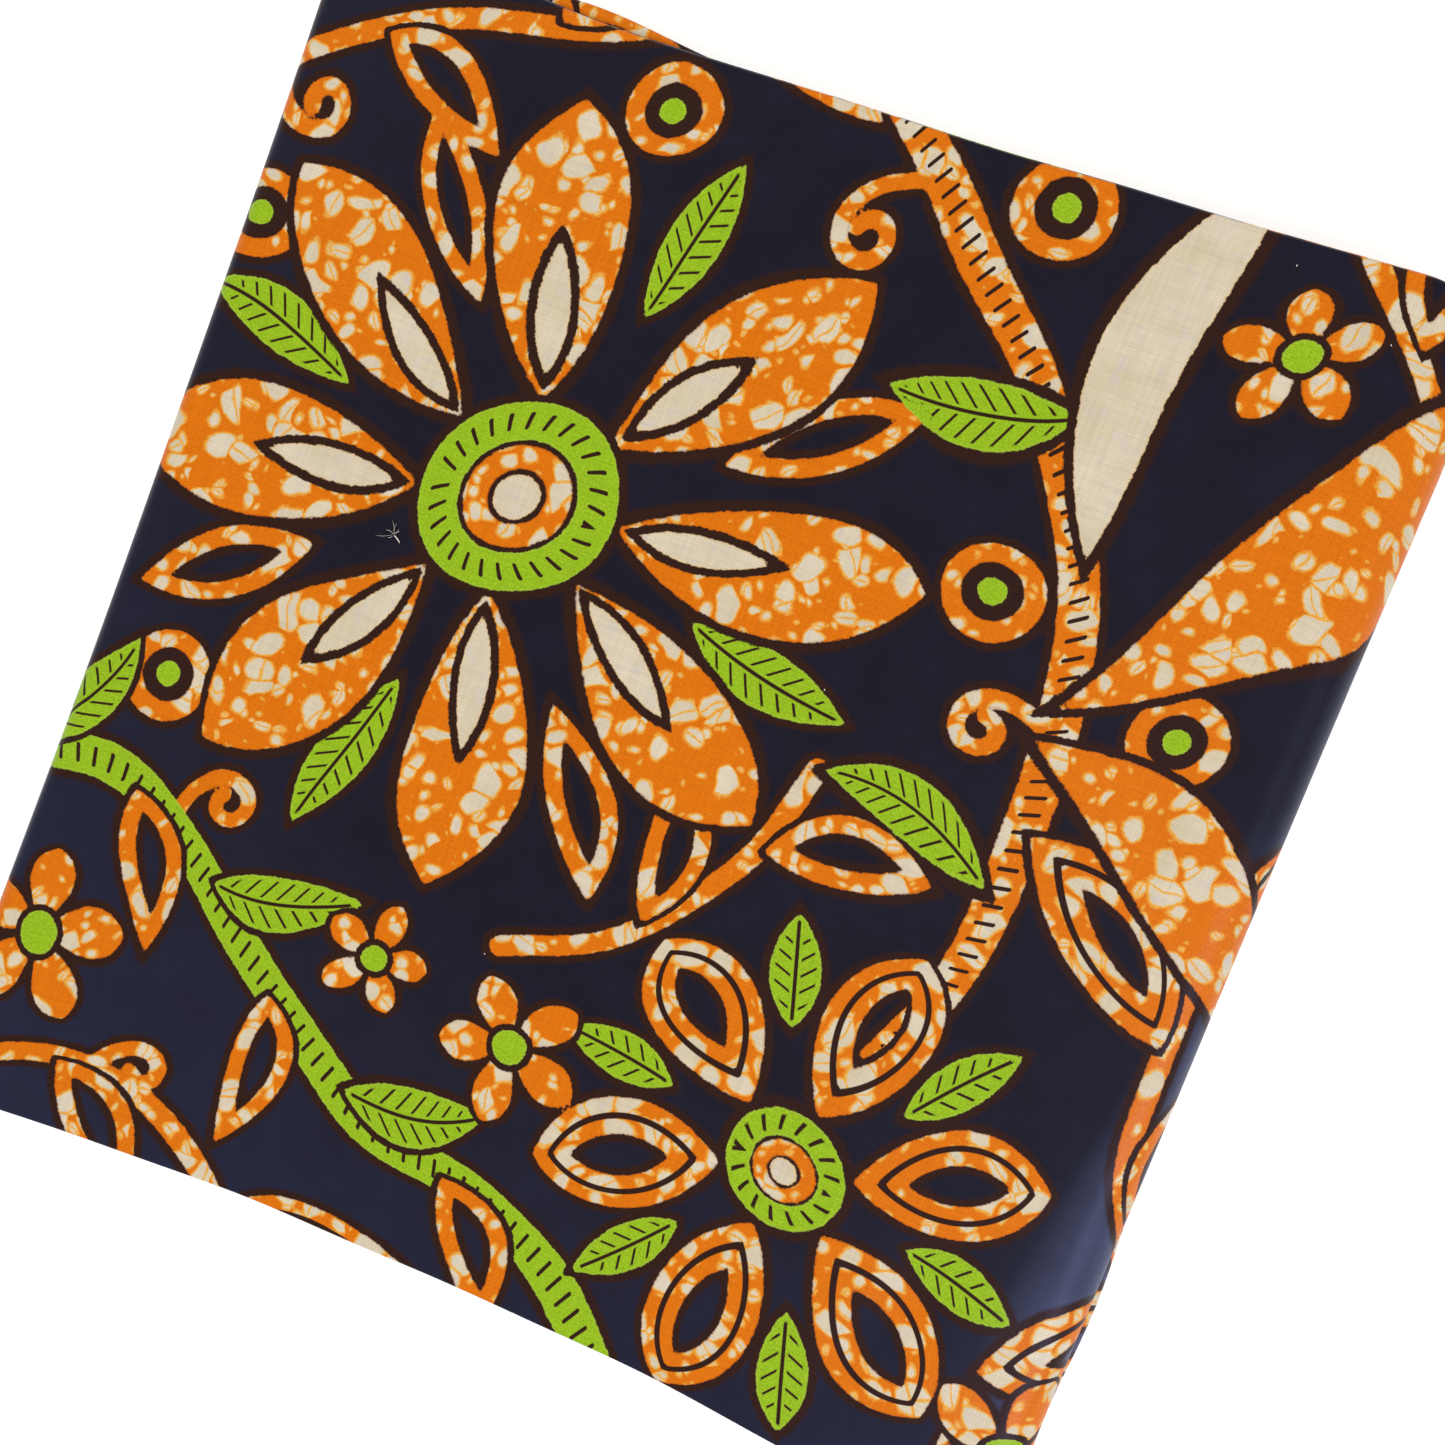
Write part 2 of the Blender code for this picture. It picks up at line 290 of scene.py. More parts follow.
def edgeLines(lengths, x):
    # the strip's near and far edges: the outline less each layer's inset, which changes
    # by t^2 (3 - 2 t) from a run's end to a bend's middle, with a slow wander, the second
    # layer's slip past the far edge and the top layer drawn in beside it
    knots = [(starts[k] + share * piece["length"], *edgeInsets[piece["layer"]])
             for k, piece in enumerate(path) for share in (runKnots if "run" in piece else (0.5,))]
    at, *insets = np.array(knots).T
    k = np.clip(np.searchsorted(at, lengths), 1, len(at) - 1)
    t = np.clip((lengths - at[k - 1]) / (at[k] - at[k - 1]), 0, 1)
    t = t * t * (3 - 2 * t)
    near, far = (between(inset[k - 1], inset[k], t) * mm for inset in insets)
    wander = sum(reach * np.sin(lengths / length + start) for reach, length, start in edgeWander)
    owner = np.searchsorted(starts, lengths, side="right") - 1
    slid, drawn = (reach * hump(x, centre, halfLength) * (owner == byLayer[layer])
                   for layer, centre, halfLength, reach in (slip, drawnIn))
    return -halfDepth + near + wander + 0.6 * slid, halfDepth - far + wander * 0.8 + slid - drawn


def edgeDistance(side, along):
    # distance of an edge from the middle: nearest + bow * ((along - nearestAt) / reach)^2
    nearest, bow, nearestAt = edges[side]
    return nearest + bow * ((along - nearestAt) / packet["cornerReach"]) ** 2


# soft troughs (negative) and ridges of the pressed cloth: where each lies, its heading in
# degrees, its length, its width and its height, all but the heading in millimetres
creases = [
    ((131, -96), 87, 150, 15, -1.4), ((96, -98), 62, 74, 7.5, -0.55),
    ((112, -72), 74, 96, 11, 0.45), ((104, 52), 96, 120, 14, -0.40),
    ((64, 108), 12, 84, 9, -0.35), ((-28, 118), -6, 70, 8, 0.35),
    ((-96, 76), 84, 92, 12, -0.35), ((-112, -28), 92, 64, 8, 0.30),
    ((-74, -104), 22, 88, 10, -0.45), ((8, -112), -14, 76, 8.5, 0.40),
    ((-6, -30), 40, 130, 24, -0.55), ((44, 34), -32, 118, 20, 0.45),
    ((-58, 22), 128, 96, 17, 0.40), ((70, -28), 8, 82, 12, -0.40),
]


def clothRelief(x, y):
    # height of the creases and of the slow unevenness of hand folding, in metres: each
    # crease is height * exp(-(across / width)^2) * cos^2 along it
    u, v = x / mm, y / mm
    relief = 0.28 * np.sin(u / 31 + 0.8) * np.sin(v / 37 + 0.3) + 0.16 * np.sin(u / 15.7 + v / 23 + 2.0)
    for at, heading, length, width, height in creases:
        along, across = turned(u - at[0], v - at[1], heading)
        across = across + 0.06 * along * np.sin(along / 23)
        relief = relief + height * np.exp(-(across / width) ** 2) * hump(along, 0.0, length / 2)
    return relief * mm


def toPacket(x, y, z):
    # points of the straight packet to their real places: the round fold's bulge and its
    # groove, the bowed outline, the sag and the relief, which fades to the flat underside
    onFold = np.clip((x - halfWidth + packet["rightBend"]) / packet["rightBend"], 0, 1)
    share = z / packet["thickness"]
    local = hump(y, bulge["centre"], bulge["halfLength"])
    low = np.sin(np.pi * np.clip(share / bulge["highest"], 0, 1)) ** 2
    groove = np.exp(-((share - bulge["grooveHeight"]) / bulge["grooveWidth"]) ** 2)
    x = x + onFold * local * (bulge["reach"] * low - bulge["groove"] * groove)
    across = (x + halfWidth) / (2 * halfWidth)
    up = (y + halfDepth) / (2 * halfDepth)
    newX = between(-edgeDistance("left", y), edgeDistance("right", y), across)
    newY = between(-edgeDistance("near", x), edgeDistance("far", x), up)
    inside = np.sin(np.pi * np.clip(across, 0, 1)) * np.sin(np.pi * np.clip(up, 0, 1))
    height = 1 - packet["sagLeft"] * (1 - across) - packet["sagMiddle"] * inside
    newZ = z * height + clothRelief(newX, newY) * np.clip(share, 0, 1) ** 1.5
    return newX - packet["middle"][0], newY - packet["middle"][1], newZ


# The print, in millimetres on the flat cloth, with (0, 0) at the top panel's middle. Its
# layers are printed over one another, each shape with a dark outline round it.

printPlan = {
    "repeat": (404.0, 436.0), "outline": 1.5, "farthest": 4.0,
    "layers": ("printStems", "printLeaves", "printPetals", "printHearts"),
    "inks": ("orange", "lime", "cream"),
    "strokes": ("ticked", "veined", "split"),
    "strokePast": 0.4, "strokeFade": 1.5,  # of strokes past a shape's edge and inside it
}
stemLayer, leafLayer, petalLayer, heartLayer = range(4)


def smoothCurve(knots, perSpan=7):
    # a Catmull-Rom curve through the knots
    k = np.array(knots, float)
    k = np.vstack([2 * k[0] - k[1], k, 2 * k[-1] - k[-2]])
    t = np.linspace(0, 1, perSpan, endpoint=False)[:, None]
    spans = [0.5 * (2 * b + (c - a) * t + (2 * a - 5 * b + 4 * c - d) * t**2
                    + (3 * b - a - 3 * c + d) * t**3)
             for a, b, c, d in zip(k, k[1:], k[2:], k[3:])]
    return np.vstack(spans + [k[-2:-1]])


def leafField(shape, x, y):
    # distance outside a leaf, where two circles meet, its widest place shifted and its
    # middle line bowed; then the place along and across it
    along, across = turned(x, y, shape["turn"])
    length, width = shape["length"], shape["width"]
    swell = 1 - np.clip(2 * along / length, -1.3, 1.3) ** 2
    across = across - shape.get("bow", 0.0) * swell
    shifted = along - shape.get("shift", 0.0) * swell
    radius = (length**2 + width**2) / (4 * width)
    return np.hypot(shifted, np.abs(across) + radius - width / 2) - radius, along + length / 2, across


def ringField(shape, x, y):
    # distance outside a ring or, with no width, a disc
    out = np.hypot(x, y)
    along = np.abs(np.arctan2(y, x)) * shape["radius"]
    if "width" not in shape:
        return out - shape["radius"], along, out
    return np.abs(out - shape["radius"]) - shape["width"] / 2, along, out - shape["radius"]


def stemField(shape, x, y):
    # distance outside a band along a smooth curve, from the nearest of its short lengths
    line = shape["line"]
    nearest = np.full((3, len(x)), 1e9)
    done = 0.0
    for (ax, ay), (bx, by) in zip(line[:-1], line[1:]):
        length = math.hypot(bx - ax, by - ay)
        c, s = (bx - ax) / length, (by - ay) / length
        t = np.clip((x - ax) * c + (y - ay) * s, 0, length)
        offX, offY = x - ax - t * c, y - ay - t * s
        distance = np.hypot(offX, offY)
        found = np.stack([distance, done + t, distance * np.sign(c * offY - s * offX)])
        nearest = np.where(distance < nearest[0], found, nearest)
        done += length
    return nearest[0] - shape["width"] / 2, nearest[1], nearest[2]


def shapeReach(shape):
    # how far a shape reaches from its place
    if shape["field"] == leafField:
        return (shape["length"] + shape["width"]) / 2 + abs(shape.get("bow", 0.0))
    if shape["field"] == stemField:
        return np.hypot(*shape["line"].T).max() + shape["width"]
    return shape["radius"] + shape.get("width", 0.0)


def printFields(shapes, u, v):
    # for each layer the distance outside each ink, and the place and the kind of the
    # strokes on the uppermost shape; a band hollows its shape out, and a bold shape has a
    # broader outline. Every line wanders a little, as the block cutter's hand did.
    inks, strokes = printPlan["inks"], printPlan["strokes"]
    fields = np.full((len(printPlan["layers"]), len(u), len(inks)), printPlan["farthest"])
    place, kinds = np.zeros((2, len(u), 3))
    handU = u + 1.1 * np.sin(v / 13.7 + 0.4) + 0.7 * np.sin(u / 9.1 + v / 21.0)
    handV = v + 1.0 * np.sin(u / 12.3 + 1.9) + 0.7 * np.sin(v / 8.3 - u / 17.0 + 2.2)
    for shape in sorted(shapes, key=lambda row: row["layer"]):
        x, y = ((hand - at + repeat / 2) % repeat - repeat / 2
                for hand, at, repeat in zip((handU, handV), shape["at"], printPlan["repeat"]))
        edge = shapeReach(shape) + printPlan["farthest"]
        close = np.flatnonzero((np.abs(x) < edge) & (np.abs(y) < edge))
        outside, along, across = shape["field"](shape, x[close], y[close])
        if "band" in shape:
            across = outside + shape["band"] / 2
            outside = np.abs(across) - shape["band"] / 2
        outside = np.where(outside > 0, outside / shape.get("bold", 1.0), outside)
        own = fields[shape["layer"], :, inks.index(shape["ink"])]
        own[close] = np.minimum(own[close], outside)
        top = outside < printPlan["strokePast"]
        here = close[top]
        place[here, 0], place[here, 1], kinds[here] = along[top], across[top], 0.0
        if "strokes" in shape:
            fade = np.clip(-outside[top], 0, printPlan["strokeFade"])
            kinds[here, strokes.index(shape["strokes"])] = fade
    return dict(zip(printPlan["layers"], fields), strokePlace=place, strokeKind=kinds)


def polar(at, angle, reach):
    # the place at an angle and a distance from at
    x, y = turned(reach, 0.0, -angle)
    return at[0] + x, at[1] + y


def leaf(at, turn, layer, **more):
    return dict(more, field=leafField, at=at, turn=turn, layer=layer)


def ring(at, radius, ink, layer, **more):
    return dict(more, field=ringField, at=at, radius=radius, ink=ink, layer=layer)


limeVeined = {"ink": "lime", "strokes": "veined"}
thinBand = {"ink": "orange", "band": 3.9}
limeLeaf = dict(limeVeined, length=35, width=12.5)
thinLoop = dict(thinBand, length=38, width=15)
wideLoop = {"ink": "orange", "band": 8.0, "strokes": "split", "length": 50, "width": 24}


def heart(at, radius):
    # a ticked lime ring, an orange ring and a cream disc
    return [ring(at, radius * 0.79, "lime", heartLayer, bold=1.3, width=radius * 0.42, strokes="ticked"),
            ring(at, radius * 0.40, "orange", heartLayer, bold=1.3, width=radius * 0.24),
            ring(at, radius * 0.22, "cream", heartLayer, bold=1.3)]


def flower(at, petals, inner, outer, width, turn, draw):
    # sepals by turns hollow and lime, orange petals round the heart and a cream flame in
    # each petal
    shapes = []
    length = outer - inner
    for k in range(petals):
        angle = turn + (k + 0.5) * 360 / petals
        long, wide, look = (0.44, 0.40, limeVeined) if k % 2 else (0.50, 0.50, thinBand)
        shapes.append(leaf(polar(at, angle, outer * 0.77), angle, leafLayer, length=outer * long,
                           width=width * wide, bow=1.5 * (-1) ** k, **look))
    for k in range(petals):
        angle = turn + k * 360 / petals + draw.uniform(-3, 3)
        shapes.append(leaf(polar(at, angle, (inner + outer) / 2 + 1.5), angle, petalLayer,
                           length=length * draw.uniform(0.97, 1.06),
                           width=width * draw.uniform(0.95, 1.05), bow=draw.uniform(-2, 2),
                           ink="orange", shift=length * 0.09, bold=1.4))
        shapes.append(leaf(polar(at, angle, inner + length * 0.32), angle, heartLayer, ink="cream",
                           length=length * 0.44, width=width * 0.24, bold=1.4))
    return shapes + heart(at, inner)


def loopFlower(at, petals, inner, outer, width, turn):
    # hollow petals of two thin bands round a heart, and a lime leaf between them
    shapes = []
    for k in range(petals):
        angle = turn + k * 360 / petals
        gap = angle + 180 / petals
        shapes.append(leaf(polar(at, angle, (inner + outer) / 2 + 2.5), angle, petalLayer, ink="orange",
                           strokes="split", band=7.8, length=(outer - inner) * 1.04, width=width,
                           shift=outer * 0.06))
        shapes.append(leaf(polar(at, gap, outer * 0.80), gap, leafLayer, length=outer * 0.50,
                           width=width * 0.42, **limeVeined))
    return shapes + heart(at, inner)


def blossom(at, radius, turn):
    # five petals round a lime dot
    petals = [leaf(polar(at, angle, radius * 0.60), angle, petalLayer, ink="orange", length=radius * 0.98,
                   width=radius * 0.58, shift=radius * 0.10) for angle in range(turn, turn + 360, 72)]
    return petals + [ring(at, radius * 0.25, "lime", heartLayer)]


def seed(at):
    # a ring with a dot in it
    return [ring(at, 8.6, "orange", stemLayer, width=4.4), ring(at, 3.0, "lime", stemLayer)]


def stem(knots, width, ink, **more):
    line = smoothCurve(knots)
    at = line.mean(0)
    return dict(more, field=stemField, ink=ink, layer=stemLayer, width=width, at=at, line=line - at)


def tendril(at, heading, length, turn):
    # a thin band that curls more and more towards its end
    t = np.linspace(0, 1, 26)
    angle = np.radians(heading + turn * t**2)
    line = np.cumsum(np.stack([np.cos(angle), np.sin(angle)], 1), axis=0) * length / len(t)
    return {"field": stemField, "ink": "orange", "layer": stemLayer, "width": 3.8, "at": at, "line": line}


def leavesAlong(knots, spacing, first, lean, leaves, count=None):
    # leaves on the two sides of a curve by turns, each of the next kind
    line = smoothCurve(knots, 30)
    along = np.concatenate([[0], np.cumsum(np.hypot(*np.diff(line, axis=0).T))])
    shapes = []
    for n, place in enumerate(np.arange(spacing * first, along[-1] - spacing * 0.2, spacing)[:count]):
        side = (-1) ** n
        k = int(np.searchsorted(along, place))
        run = line[min(k + 1, len(line) - 1)] - line[k - 1]
        heading = math.degrees(math.atan2(run[1], run[0])) + side * lean
        row = leaves[n % len(leaves)]
        shapes.append(leaf(polar(line[k], heading, row["length"] / 2 + 1.5), heading, leafLayer,
                           shift=-row["length"] * 0.05, bow=-side * row["length"] * 0.08, **row))
    return shapes


# each sprig's knots, the spacing of its leaves, the share of it before the first, and them
loops = [wideLoop, thinLoop]
sprigs = [
    ([(-160, 84), (-128, 112), (-92, 132), (-48, 146), (-10, 176)], 40, 0.45, loops),
    ([(-170, -168), (-134, -136), (-96, -124), (-62, -138), (-36, -172)], 56, 0.42, loops),
    ([(176, -100), (132, -64), (124, -22), (136, 22), (178, 40)], 40, 0.35, loops),
    ([(170, 100), (128, 116), (96, 148), (84, 190)], 38, 0.5, loops),
    ([(178, -176), (140, -148), (112, -152), (84, -190)], 36, 0.5, loops),
    ([(-14, -62), (8, -50), (28, -26), (36, 0)], 30, 1.0, [thinLoop]),
]
sprigLean, vineLean = 52, 48
vine = [(-152, -62), (-112, -56), (-72, -82), (-36, -112), (0, -118), (36, -142), (62, -178)]
tallStem = [(-22, 168), (18, 128), (58, 84), (80, 30), (80, -22), (68, -62)]
longLeaves = [
    leaf((75, 110), 84, heartLayer, ink="cream", length=92, width=19, bow=7),
    leaf((112, 88), 58, petalLayer, ink="orange", length=128, width=29, bow=-10, shift=4),
    leaf((112, 2), -34, petalLayer, ink="orange", length=84, width=24, bow=8, shift=2),
    leaf((58, -4), 168, leafLayer, length=42, width=14, bow=-4, **limeVeined),
    leaf((40, 88), 190, leafLayer, length=40, width=14, bow=4, **limeVeined),
]
blossoms = [((-119, -99), 19, 20), ((-4, -84), 16, 50), ((126, -122), 19, 5), ((-41, -77), 12, 10),
            ((97, 117), 14, 34)]  # place, radius and turn
seeds = [(56, 50), (104, 34), (40, 132), (-128, 74), (-45, 127), (-113, -32)]
tendrils = [((14, 130), 196, 52, 400), ((82, 26), 148, 46, 380), ((-98, -62), 78, 44, -380),
            ((-134, 108), -70, 40, 360), ((-96, -124), 60, 30, -300)]  # place, heading, length and turn


def composePrint():
    # the print's shapes, each laid over those before it in its layer
    draw = np.random.default_rng(11)
    shapes = [tendril(*row) for row in tendrils]
    for knots, spacing, first, leaves in sprigs:
        shapes.append(stem(knots, 4.8, "orange"))
        shapes += leavesAlong(knots, spacing, first, sprigLean, leaves)
    shapes.append(stem(vine, 8.5, "lime", strokes="ticked"))
    shapes += leavesAlong(vine, 29.5, 0.46, vineLean, [limeLeaf, thinLoop], 6)
    shapes.append(stem(tallStem, 8.5, "orange", strokes="ticked"))
    shapes += [dict(row, bold=1.5) for row in longLeaves]
    shapes += flower((-48, 34), 8, 22, 90, 30, 8, draw)
    shapes += loopFlower((62, -84), 6, 13, 54, 25, 20)
    return sum([blossom(*row) for row in blossoms] + [seed(at) for at in seeds], shapes)


printShapes = composePrint()
print("the print has", len(printShapes), "shapes")

# The cloth's own surface, carried along the fold path


def clothPoints(s, share, add, height):
    # points of the cloth at lengths s along the path: a share of the way from the strip's
    # near to its far edge and a distance more, at a height in the strip
    x, z, nx, nz = stripAt(s)
    near, far = edgeLines(s, x)
    px, py, pz = toPacket(x + nx * height, near + (far - near) * share + add, z + nz * height)
    return np.stack([px, py, np.maximum(pz, 0.0)], 1)


def profileRows(share, add, height, place):
    # a profile across the strip: each row's share of the way from the near to the far edge,
    # a distance to add, its height in the strip and its place on the flat cloth
    return np.stack(np.broadcast_arrays(share, add, height, place)).astype(float)


def clothSurface(name, lengths, profile, bakeMap=False):
    # a grid: lengths along the path one way, a profile across the strip the other way, with
    # the cut ends a little ragged, its place on the flat cloth as a UV map in metres, and
    # the print's fields; the second map is the first one, fitted to the unit square
    share, add, height, v = (np.broadcast_to(row, (len(lengths), len(row))) for row in profile)
    s = np.broadcast_to(lengths[:, None], v.shape)
    ragged = packet["endWander"] * (np.sin(v / 0.047 + 1.0) + 0.5 * np.sin(v / 0.0213))
    nearEnd = sum(np.clip(1 - away / packet["endReach"], 0, 1) for away in (s, pathEnd - s))
    s = np.clip(s + ragged * nearEnd * np.where(s < pathEnd / 2, 1, -1), 0.0, pathEnd)
    points = clothPoints(s.ravel(), share.ravel(), add.ravel(), height.ravel())
    index = np.arange(s.size).reshape(s.shape)
    quads = np.stack([index[:-1, :-1], index[1:, :-1], index[1:, 1:], index[:-1, 1:]], -1).reshape(-1, 4)
    mesh = newMesh(name, points, quads)
    place = np.stack([printStart - s.ravel(), v.ravel()], 1)
    maps = {"cloth": place}
    if bakeMap:
        maps["OFBake"] = 0.01 + 0.98 * (place - place.min(0)) / np.ptp(place, axis=0)
    for mapName, values in maps.items():
        mesh.uv_layers.new(name=mapName).data.foreach_set("uv", values[quads.ravel()].ravel())
    for fieldName, values in printFields(printShapes, place[:, 0] / mm, place[:, 1] / mm).items():
        attribute = mesh.attributes.new(fieldName, "FLOAT_VECTOR", "POINT")
        attribute.data.foreach_set("vector", values.ravel())
    mesh.validate()
    return addObject(name, mesh)


def plyPlace(ply, fromEdge, side):
    # place on the flat cloth, across the strip, of a point of a ply at a distance from
    # the near (-1) or far (1) edge; a's middle is zero and the four follow one another
    width = 2 * halfDepth
    y = side * (halfDepth - fromEdge)
    return {"a": y, "b": -y - width, "c": y - 2 * width, "d": width - y}[ply]


layerEdges = {"spacing": 2.5 * mm, "bendSpacing": 0.9 * mm, "depth": [0.012, 0.006, 0.0025],
              "farSteps": 8, "nearSteps": 5}
nearMiddle = (plyHeights["a"] + plyHeights["b"]) / 2
nearRadius = (plyHeights["a"] - plyHeights["b"]) / 2


def edgeFold(side, fromPly, toPly, height, radius, depth, tuck, steps):
    # a profile from inside a ply, round the fold at one edge, into the ply it joins: a
    # straight, a half circle of the radius about the height, and a straight
    sign = np.sign(plyHeights[fromPly] - plyHeights[toPly])
    share = (1 + side) / 2
    angle = np.linspace(0, np.pi, steps + 1)
    places = [plyPlace(ply, radius, side) for ply in (fromPly, toPly)]
    inward, up = -side * radius * (1 - np.sin(angle)), height + sign * radius * np.cos(angle)
    bend = profileRows(share, inward, up, np.interp(angle, [0, np.pi], places))
    first, last = (profileRows(share, -side * (radius + np.array(reach)), height + way * radius,
                               plyPlace(ply, radius + np.array(reach), side))
                   for ply, reach, way in ((fromPly, depth, sign), (toPly, tuck, -sign)))
    return np.concatenate([first, bend, last], axis=1)


def fullPly(rows, tuck):
    # the outside of ply a from fold to fold, with its two folds' returns
    far = packet["halfStrip"]
    near = nearRadius + far - plyHeights["a"]
    t = np.linspace(0, 1, rows)[1:-1]
    flat = profileRows(t, between(near, -far, t), far,
                       between(plyPlace("a", near, -1), plyPlace("a", far, 1), t))
    nearFold = edgeFold(-1, "b", "a", nearMiddle, near, tuck[::-1], [], layerEdges["nearSteps"])
    farFold = edgeFold(1, "a", "d", 0.0, far, [], tuck, layerEdges["farSteps"])
    return np.concatenate([nearFold, flat, farFold], axis=1)


def evenly(start, stop, spacing):
    # equal steps from start to stop, as near the spacing as they can be
    return np.linspace(start, stop, max(2, int(round((stop - start) / spacing)) + 1))


def runEnd(layer, share=0.0):
    # length along the path of a layer's start, or of a share of the way along it
    k = byLayer[layer]
    return starts[k] + path[k]["length"] * share


# Materials


def addNode(tree, kind, *inputs, **settings):
    # one shader node: its kind, with its operation or data type as a second word, or a Math
    # node's operation alone; then its enabled sockets in their order and its other settings
    if kind.isupper():
        kind = "Math " + kind
    kind, _, mode = kind.partition(" ")
    node = tree.nodes.new("ShaderNode" + kind)
    if mode:
        settings["data_type" if kind == "Mix" else "operation"] = mode
    for key, value in settings.items():
        setattr(node, key, value)
    sockets = [socket for socket in node.inputs if socket.enabled]
    for socket, value in zip(sockets, inputs):
        connect(tree, value, socket)
    return node


waxPrint = {
    "colours": {  # a pair where it varies from the one to the other
        # after the navy pair, the paler colour of the painted sheen along the round fold
        "navy": ("#15121d", "#1f2136"), "navySheen": "#4a5070", "outline": ("#261109", "#2f180f"),
        "orange": ("#c16001", "#cc6b02"), "orangeEdge": "#9b4204", "halo": "#d19a40",
        "cream": ("#bdaf94", "#c6b9a2"), "smudge": "#b5aeac",
        "lime": ("#7a9a10", "#90b21f"), "limeEdge": "#a1b348",
    },
    "surface": {"Roughness": 0.42, "Specular IOR Level": 0.08, "Sheen Weight": 0.06,
                "Sheen Tint": "#b9c6ff", "Sheen Roughness": 0.4},
    # bubbles that the wax left: cell, gap between neighbours, the draw from which they have
    # a size, that size, the largest, and a shift, all in millimetres but the draw; then the
    # gap round the large ones, how far they are drawn out, and the line that splits some
    "bubbles": [(7.2, 0.40, 0.32, 0.8, 3.0, 0.0), (4.6, 0.30, 0.62, 0.4, 1.3, 41.0)],
    "bubbleGap": 0.45, "longer": 0.50, "splitDraw": 0.70, "splitHalf": 0.26,
    "tick": {"pitch": 4.0, "half": 0.46, "straight": 1.7, "slant": 0.3},
    "vein": {"pitch": 3.9, "half": 0.36, "slant": -0.8}, "middle": 0.68,
    "fadeIn": ((0.9, 1.2), (0.8, 1.1), (1.0, 1.3)),  # of ticks, veins and splits, inside an edge
    # how far the inks' edges waver, finely and slowly, and the bubbles', and half the width
    # in which inks and strokes end
    "wavers": (0.10, 0.12, 0.12), "inkSoft": 0.12, "strokeSoft": 0.08,
    # a painted sheen: the ground is painted paler along the round fold, most of all towards the near side
    "foldSheen": {"at": 132.0, "reach": 24.0, "along": (-90.0, 57.0), "shares": (0.20, 0.80)},
    "thread": 0.66,  # real threads are 0.44 mm apart, drawn wider so that they show
    "threadShade": (0.91, 1.04), "slubShade": 0.06, "bump": (0.25, 0.00005),
}


